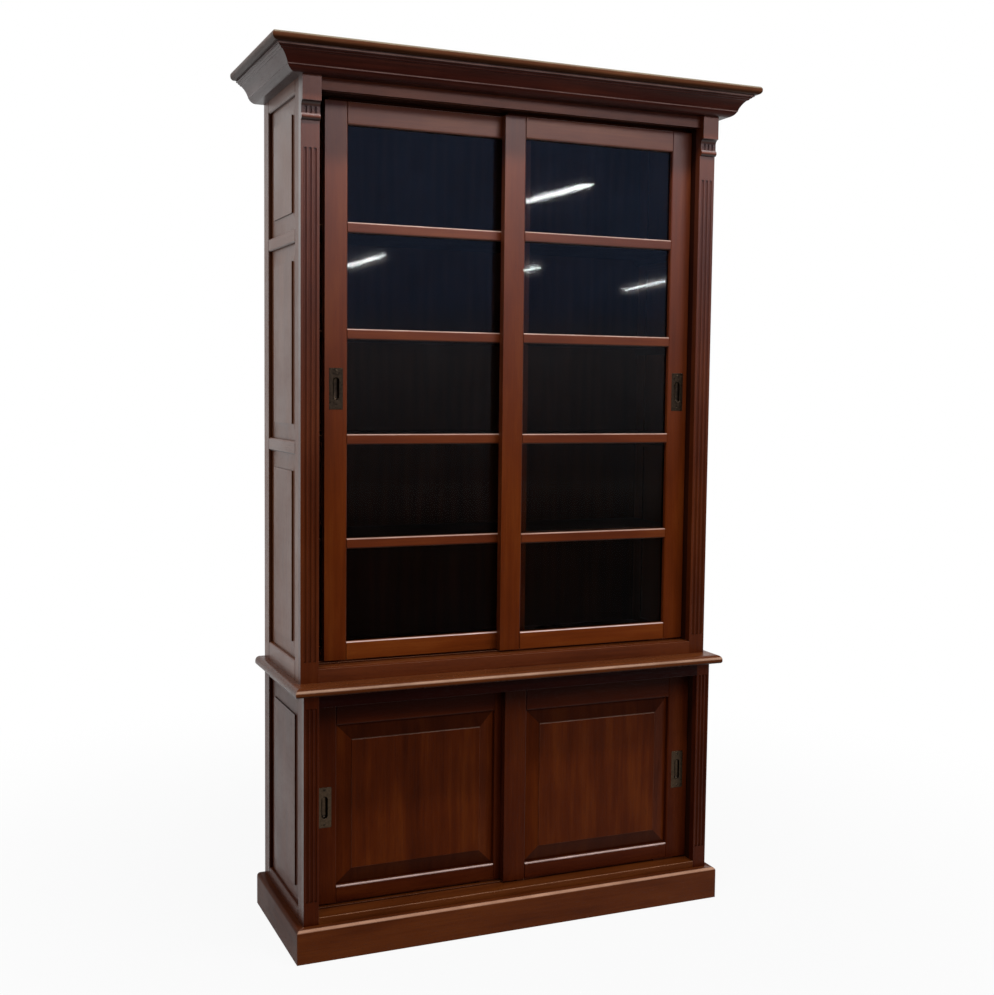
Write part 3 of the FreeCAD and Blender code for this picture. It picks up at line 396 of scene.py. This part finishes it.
def round_the_corner(reach, front, wide):
    """Grain that follows a moulding from its front length into returns of that width."""
    def turned(tree, spot):
        lengths = placed(tree, mitred, {"Vector": spot, "Reach": reach, "Front": front,
                                        "Wide": wide})
        apart = shader(tree, "ShaderNodeSeparateXYZ", {0: spot})
        swapped = shader(tree, "ShaderNodeCombineXYZ", {
            0: apart.outputs[1], 1: apart.outputs[0], 2: apart.outputs[2]})
        both = shader(tree, "ShaderNodeMix", {0: lengths.outputs["Return"], 4: spot,
                                              5: swapped.outputs[0]}, data_type="VECTOR")
        return both.outputs[1]
    return turned


crown_low, crown_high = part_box("cornice_crown")
slab_low, slab_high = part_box("cornice_slab")
crown_tones = dict(pale=(0.090, 0.0200, 0.0120), body=(0.042, 0.0080, 0.0060),
                   deep=(0.016, 0.0030, 0.0026))
# a painted highlight on the reeds' upper faces and painted shade on faces that look down
dress(stained_wood("crown_moulding", "X", streaks=0.7, wear=1.0, round_edge=0.0015,
                   butted=False, under=0.35, highlight_at=(-0.40, -0.02, 0.90),
                   highlight_colour=(0.26, 0.165, 0.145),
                   turn_to=round_the_corner(crown_high.x, crown_low.y, CROWN_RETURN),
                   **crown_tones), "cornice_crown")
# a painted highlight along the slab's top edge
dress(stained_wood("cornice_board", "X", gloss=0.38, wear=0.6, round_edge=0.003, butted=False,
                   turn_to=round_the_corner(slab_high.x, slab_low.y, SLAB_STRIP),
                   level=0.12, highlight_colour=(0.20, 0.165, 0.115),
                   pale=(0.140, 0.057, 0.025), body=(0.080, 0.0275, 0.0115),
                   deep=(0.037, 0.0110, 0.0043)), "cornice_slab")

# ---------------------------------------------------------------- panelled doors
# The lower pair: mortised frames round raised and fielded panels that are free to move in
# their grooves. They run on hardwood shoes over the ribs.
door_tones = dict(pale=(0.100, 0.0190, 0.0034), body=(0.055, 0.0082, 0.0015),
                  deep=(0.022, 0.0026, 0.0006))
panel_tones = dict(pale=(0.130, 0.0270, 0.0036), body=(0.072, 0.0115, 0.0016),
                   deep=(0.026, 0.0035, 0.0006))
# painted shadow: the heads of the lower doors, under the waist, are darkened
shadow_under_waist = [(0.50, 0.61, 0.0, 0.95)]
lower_post = stained_wood("lower_door_post", "Z", round_edge=0.0010, painted_shade_bands=shadow_under_waist,
                          tint=(0.20, 0.05, 0.02), **door_tones)
# a painted highlight on the rails' up-facing edges and painted shadow under the waist
lower_rail = stained_wood("lower_door_rail", "X", round_edge=0.0060, painted_shade_bands=shadow_under_waist,
                          tint=(0.16, 0.04, 0.02), highlight_colour=(0.80, 0.60, 0.54), **door_tones)
# painted shade on the sloping bevels and near the frame, and a painted highlight on the field's
# top edge
fielded = stained_wood("fielded_panel", "Z", ribbon=0.06, streaks=0.35, clouds=0.55,
                       round_edge=0.0030, highlight_colour=(0.50, 0.30, 0.22), butted=False,
                       painted_shade_slopes=("Z", 0.62), corner_polish_and_shade=0.85, reach=0.035, tint=(0.20, 0.05, 0.02),
                       **panel_tones)
for side in ("left", "right"):
    dress(lower_post, "lower_%s_stiles" % side)
    dress(lower_rail, "lower_%s_rails" % side)
    dress(fielded, "lower_%s_panel" % side)
    dress(waxed, "lower_%s_runners" % side)

# ---------------------------------------------------------------- glazed doors
# The upper pair: taller frames with four glazing bars, an ovolo worked on every edge in
# front, and square beads pinned behind the glass.
glazed_tones = dict(pale=(0.172, 0.0400, 0.0064), body=(0.112, 0.0196, 0.0028),
                    deep=(0.056, 0.0086, 0.0013))
upper_post = stained_wood("upper_door_post", "Z", fresh=0.9, round_edge=0.0010, **glazed_tones)
# a painted highlight on the rails' up-facing ovolos
upper_rail = stained_wood("upper_door_rail", "X", fresh=0.8, highlight_colour=(0.85, 0.66, 0.60),
                          round_edge=0.0020, pale=(0.230, 0.0580, 0.0095),
                          body=(0.155, 0.0300, 0.0042), deep=(0.080, 0.0130, 0.0020))
# a painted highlight on the bars' up-facing edges
glazing_bar = stained_wood("glazing_bar", "X", wear=0.9, coat=0.15, fresh=0.7,
                           round_edge=0.0025, highlight_colour=(0.52, 0.34, 0.27), **glazed_tones)
for side in ("left", "right"):
    dress(upper_post, "upper_%s_stiles" % side)
    dress(upper_rail, "upper_%s_rails" % side)
    dress(glazing_bar, "upper_%s_bars" % side)
    dress(inner_board, "upper_%s_beads" % side)
    dress(waxed, "upper_%s_runners" % side)

# ---------------------------------------------------------------- glass
# Clear 4 mm sheet, one pane to each opening, bedded against the bars and held by the beads
# behind. Not quite flat, with a faint film left by cleaning that grows towards the top.
FILM_FROM, FILM_TO, FILM_MOST = 0.9, 1.9, 0.56
glass = bpy.data.materials.new("window_glass")
glass.use_nodes = True
tree = glass.node_tree
pane = tree.nodes["Principled BSDF"]
spot = tree.nodes.new("ShaderNodeTexCoord").outputs["Object"]
waver = shader(tree, "ShaderNodeTexNoise", {"Vector": spot, "Scale": 3.2, "Detail": 1.0})
smears = shader(tree, "ShaderNodeTexNoise", {"Vector": spot, "Scale": 6.0, "Detail": 3.0,
                                             "Distortion": 1.5}).outputs[0]
level = shader(tree, "ShaderNodeSeparateXYZ", {0: spot}).outputs[2]
film = number(tree, "MULTIPLY",
              ranged(tree, level, FILM_FROM, FILM_TO, 0.0, FILM_MOST, smooth=True),
              ranged(tree, smears, 0.3, 0.7, 0.75, 1.0))
tree.links.new(film, pane.inputs["Coat Weight"])
ripple = shader(tree, "ShaderNodeBump", {"Strength": 0.004, "Distance": 0.002,
                                         "Height": waver.outputs[0]})
tree.links.new(ripple.outputs[0], pane.inputs["Normal"])
pane.inputs["Base Color"].default_value = (0.50, 0.50, 0.52, 1)
pane.inputs["Roughness"].default_value = 0.0
pane.inputs["Transmission Weight"].default_value = 1.0
pane.inputs["IOR"].default_value = 1.45
pane.inputs["Specular Tint"].default_value = (0.03, 0.02, 0.02, 1)
dress(glass, "upper_left_panes", "upper_right_panes")

# ---------------------------------------------------------------- flush pulls
# Cast brass gone brown: a plate let in flush with the outer stile, with a dished cup for
# the fingertips, held by two slotted round-head screws.
RING_POINTS = 64


def ring(mesh, width, height, corner, depth):
    """A round-cornered outline: a circle whose quarters are pushed apart."""
    made = bmesh.ops.create_circle(mesh, segments=RING_POINTS, radius=corner,
                                   matrix=Matrix.Rotation(math.radians(90), 4, "X"))
    for vert in made["verts"]:
        side, end = (math.copysign(1, vert.co.x), math.copysign(1, vert.co.z))
        vert.co += Vector((side * (width / 2 - corner), depth, end * (height / 2 - corner)))
    edges = {edge for vert in made["verts"] for edge in vert.link_edges}
    return list(edges)


def finished(mesh, name, material, body, smooth=True):
    """Turn a bmesh into a piece of the object that rides on a body."""
    bmesh.ops.recalc_face_normals(mesh, faces=mesh.faces)
    data = bpy.data.meshes.new(name)
    mesh.to_mesh(data)
    mesh.free()
    for face in data.polygons:
        face.use_smooth = smooth
    data.materials.append(material)
    piece = bpy.data.objects.new(name, data)
    bpy.context.scene.collection.objects.link(piece)
    if smooth:
        data.set_sharp_from_angle(angle=math.radians(35))
    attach(piece, body)
    return piece


brass = bpy.data.materials.new("brown_brass")
brass.use_nodes = True
tree = brass.node_tree
metal = tree.nodes["Principled BSDF"]
spot = tree.nodes.new("ShaderNodeTexCoord").outputs["Object"]
mottle = shader(tree, "ShaderNodeTexNoise", {"Vector": spot, "Scale": 160.0, "Detail": 5.0,
                                             "Roughness": 0.6}).outputs[0]
edges = placed(tree, arris, {"Vector": spot, "Round": 0.0007, "Wear": 1.0})
# darker in the cup and corners, partly for patina there and partly as painted shade; faces that
# look down get painted shade
nooks = placed(tree, polish_and_shade, {"Reach": 0.008, "Amount": 0.9, "Under": 0.4})
colour = blended(tree, ranged(tree, mottle, 0.35, 0.65), (0.038, 0.025, 0.0155, 1),
                 (0.068, 0.044, 0.027, 1))
colour = blended(tree, edges.outputs["Worn"], colour, (0.19, 0.14, 0.088, 1))
colour = blended(tree, nooks.outputs["Dark"], colour, (0.020, 0.017, 0.013, 1))
tree.links.new(colour, metal.inputs["Base Color"])
tree.links.new(ranged(tree, mottle, 0.3, 0.7, 0.24, 0.44), metal.inputs["Roughness"])
pits = shader(tree, "ShaderNodeBump", {"Strength": 0.3, "Distance": 0.00015, "Height": mottle,
                                       "Normal": edges.outputs["Normal"]})
tree.links.new(pits.outputs[0], metal.inputs["Normal"])
metal.inputs["Metallic"].default_value = 1.0

PLATE_CORNER, PLATE_THICK, PLATE_EASE = 0.0022, 0.0016, 0.0005
CUP_WIDE, CUP_TALL, CUP_DEEP, CUP_SLOPE, CUP_WALL = 0.016, 0.056, 0.009, 0.0055, 0.0012
CUP_STEPS = 6
SCREW_APART, SCREW_HEAD, SCREW_PROUD, SCREW_SEAT = 0.088, 0.0033, 0.0012, 0.0002
SLOT_HALF, SLOT_DEEP, SLOT_FROM = 0.00045, SCREW_PROUD * 0.6, SCREW_PROUD * 0.3
DOME_STEPS, DOME_AROUND = 5, 24


def slotted_head(turn):
    """A screw's dome, spun from a quarter arc; its slot is pressed in between two cuts."""
    mesh = bmesh.new()
    spots = [mesh.verts.new((SCREW_HEAD, SCREW_SEAT, 0))]
    for i in range(DOME_STEPS + 1):
        rise = math.radians(90) * i / DOME_STEPS
        spots.append(mesh.verts.new((SCREW_HEAD * math.cos(rise),
                                     -SCREW_PROUD * math.sin(rise), 0)))
    runs = [mesh.edges.new(pair) for pair in zip(spots, spots[1:])]
    bmesh.ops.spin(mesh, geom=spots + runs, cent=(0, 0, 0), axis=(0, 1, 0),
                   angle=math.radians(360), steps=DOME_AROUND, use_merge=True)
    bmesh.ops.remove_doubles(mesh, verts=mesh.verts, dist=0.00001)
    for side in (-1, 1):
        bmesh.ops.bisect_plane(mesh, geom=mesh.verts[:] + mesh.edges[:] + mesh.faces[:],
                               dist=0.0000001, plane_co=(side * SLOT_HALF, 0, 0),
                               plane_no=(side, 0, 0))
    bmesh.ops.recalc_face_normals(mesh, faces=mesh.faces)
    strip = [face for face in mesh.faces
             if abs(face.calc_center_median().x) < SLOT_HALF
             and face.calc_center_median().y < -SLOT_FROM]
    pressed = bmesh.ops.extrude_face_region(mesh, geom=strip)
    floor = [item for item in pressed["geom"] if isinstance(item, bmesh.types.BMVert)]
    bmesh.ops.translate(mesh, verts=floor, vec=(0, SLOT_DEEP, 0))
    bmesh.ops.delete(mesh, geom=[face for face in strip if face.is_valid], context="FACES")
    bmesh.ops.rotate(mesh, verts=mesh.verts, cent=(0, 0, 0),
                     matrix=Matrix.Rotation(turn, 3, "Y"))
    return mesh


for door in ("upper_left", "upper_right", "lower_left", "lower_right"):
    low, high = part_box(door + "_pull")
    plate_wide, plate_tall = high.x - low.x, high.z - low.z
    middle = Vector(((low.x + high.x) / 2, low.y, (low.z + high.z) / 2))
    mesh = bmesh.new()
    boss_wide, boss_tall = CUP_WIDE + CUP_WALL * 2, CUP_TALL + CUP_WALL * 2
    rings = [ring(mesh, boss_wide, boss_tall, boss_wide / 2, CUP_DEEP + CUP_WALL),
             ring(mesh, boss_wide, boss_tall, boss_wide / 2, PLATE_THICK),
             ring(mesh, plate_wide, plate_tall, PLATE_CORNER, PLATE_THICK),
             ring(mesh, plate_wide, plate_tall, PLATE_CORNER, PLATE_EASE),
             ring(mesh, plate_wide - PLATE_EASE * 2, plate_tall - PLATE_EASE * 2,
                  PLATE_CORNER - PLATE_EASE, 0),
             ring(mesh, CUP_WIDE + PLATE_EASE * 2, CUP_TALL + PLATE_EASE * 2,
                  CUP_WIDE / 2 + PLATE_EASE, 0)]
    for step in range(CUP_STEPS + 1):
        turn = math.radians(90) * step / CUP_STEPS
        inset = CUP_SLOPE * (1 - math.cos(turn))
        depth = PLATE_EASE + (CUP_DEEP - PLATE_EASE) * math.sin(turn)
        rings.append(ring(mesh, CUP_WIDE - inset * 2, CUP_TALL - inset * 2,
                          CUP_WIDE / 2 - inset, depth))
    for near, far in zip(rings, rings[1:]):
        bmesh.ops.bridge_loops(mesh, edges=near + far)
    for loop in (rings[0], rings[-1]):
        bmesh.ops.contextual_create(mesh, geom=loop)
    bmesh.ops.translate(mesh, verts=mesh.verts, vec=middle)
    pull = finished(mesh, door + "_cup_pull", brass, door + "_door")
    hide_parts(door + "_pull")

    pair = bmesh.new()
    for end in (-1, 1):
        screw = slotted_head(math.radians(40 + 25 * end))
        bmesh.ops.translate(screw, verts=screw.verts,
                            vec=middle + Vector((0, 0, end * SCREW_APART / 2)))
        part = bpy.data.meshes.new("screw")
        screw.to_mesh(part)
        screw.free()
        pair.from_mesh(part)
        bpy.data.meshes.remove(part)
    finished(pair, door + "_pull_screws", brass, door + "_door")

# ---------------------------------------------------------------- studio
# A plain pale floor and wall, a soft box high in front, a tube along the ceiling over the
# bookcase and four more down the room, whose images show in the glass.
FLOOR_HALF = 15
mesh = bmesh.new()
bmesh.ops.create_grid(mesh, x_segments=1, y_segments=1, size=FLOOR_HALF)
data = bpy.data.meshes.new("studio_floor")
mesh.to_mesh(data)
mesh.free()
floor = bpy.data.objects.new("studio_floor", data)
bpy.context.scene.collection.objects.link(floor)


def seen_rays(tree, mirrored=1.0):
    """1 for what the camera, polish and glass see, 0 for light that scatters."""
    path = tree.nodes.new("ShaderNodeLightPath")
    polish = number(tree, "MULTIPLY", path.outputs["Is Glossy Ray"], mirrored)
    seen = number(tree, "MAXIMUM", path.outputs["Is Camera Ray"], polish)
    return number(tree, "MAXIMUM", seen, path.outputs["Is Transmission Ray"])


paint = bpy.data.materials.new("pale_floor")
paint.use_nodes = True
tree = paint.node_tree
tree.nodes.remove(tree.nodes["Principled BSDF"])
matt = shader(tree, "ShaderNodeBsdfDiffuse", {"Color": (0.55, 0.55, 0.55, 1)})
glow = shader(tree, "ShaderNodeEmission", {"Color": (1, 1, 1, 1), "Strength": 1.0})
spot = tree.nodes.new("ShaderNodeTexCoord").outputs["Object"]
away = shader(tree, "ShaderNodeVectorMath", {0: spot}, operation="LENGTH").outputs[1]
fade = ranged(tree, away, 0.6, 2.6, 0.93, 1.0, smooth=True)
down_room = shader(tree, "ShaderNodeSeparateXYZ", {0: spot}).outputs[1]
dim_end = ranged(tree, down_room, -1.6, -3.2, 1.0, 0.12, smooth=True)
cover = shader(tree, "ShaderNodeMixShader", {
    0: number(tree, "MULTIPLY", seen_rays(tree, dim_end), fade), 1: matt.outputs[0],
    2: glow.outputs[0]})
tree.links.new(cover.outputs[0], tree.nodes["Material Output"].inputs["Surface"])
floor.data.materials.append(paint)

world = bpy.data.worlds.new("studio")
bpy.context.scene.world = world
world.use_nodes = True
tree = world.node_tree
toward = shader(tree, "ShaderNodeSeparateXYZ", {
    0: tree.nodes.new("ShaderNodeTexCoord").outputs["Generated"]})
front = blended(tree, ranged(tree, toward.outputs[2], 0.02, 0.07, smooth=True),
                (0.42, 0.41, 0.44, 1), (0.22, 0.31, 0.54, 1))
front = blended(tree, tree.nodes.new("ShaderNodeLightPath").outputs["Is Camera Ray"], front,
                (1, 1, 1, 1))
wall = blended(tree, ranged(tree, toward.outputs[1], -0.55, 0.15, smooth=True), front,
               (1, 1, 1, 1))
sky = blended(tree, seen_rays(tree), (0.26, 0.27, 0.29, 1), wall)
tree.links.new(sky, tree.nodes["Background"].inputs["Color"])


def lamp(name, place, aim, across, deep, watts):
    """A flat lamp; what it would send through the panes is left to the room's even light."""
    light = bpy.data.lights.new(name, "AREA")
    light.shape, light.size, light.size_y, light.energy = "RECTANGLE", across, deep, watts
    holder = bpy.data.objects.new(name, light)
    holder.location = place
    holder.rotation_euler = (Vector(aim) - Vector(place)).to_track_quat("-Z", "Y").to_euler()
    holder.visible_transmission = False
    bpy.context.scene.collection.objects.link(holder)
    return holder


lamp("soft_box", (2.2, -4.6, 3.9), (0, 0, 1.5), 3.4, 1.1, 90)
lamp("tube_above", (-0.1, -1.0, 3.4), (-0.1, -0.1, 1.0), 3.0, 0.12, 52)
CEILING, TUBE_WIDE, TUBE_BRIGHT = 3.0, 0.09, 85
TUBE_ENDS = [((3.356, -7.288), (3.405, -6.222)), ((3.767, -13.786), (3.730, -12.180)),
             ((6.089, -13.196), (5.971, -12.599)), ((8.936, -15.637), (8.567, -13.630))]
for i, (near, far) in enumerate(TUBE_ENDS):
    start, end = Vector((*near, CEILING)), Vector((*far, CEILING))
    long = (end - start).length
    tube = lamp("tube_%d" % i, (start + end) / 2, (0, 0, 0), TUBE_WIDE, long,
                math.pi * long * TUBE_WIDE * TUBE_BRIGHT)
    tube.rotation_euler = (0, 0, math.atan2(end.x - start.x, start.y - end.y))

# a visitor in front of the bookcase, a little to its left
EYE, TURNED, LOOKS_DOWN, TILTED = (-1.3829, -3.1803, 1.3962), -0.3993, 0.0725, 0.0106
LENS_MM, LENS_SHIFT = 47.28, (0.0156, -0.0142)
view = bpy.data.cameras.new("view")
view.sensor_fit, view.sensor_width, view.lens = "HORIZONTAL", 36, LENS_MM
view.shift_x, view.shift_y = LENS_SHIFT
camera = bpy.data.objects.new("view", view)
camera.matrix_world = (Matrix.Translation(EYE) @ Matrix.Rotation(TURNED, 4, "Z")
                       @ Matrix.Rotation(math.radians(90) - LOOKS_DOWN, 4, "X")
                       @ Matrix.Rotation(TILTED, 4, "Z"))
bpy.context.scene.collection.objects.link(camera)
bpy.context.scene.camera = camera
bpy.context.scene.view_settings.view_transform = "Standard"
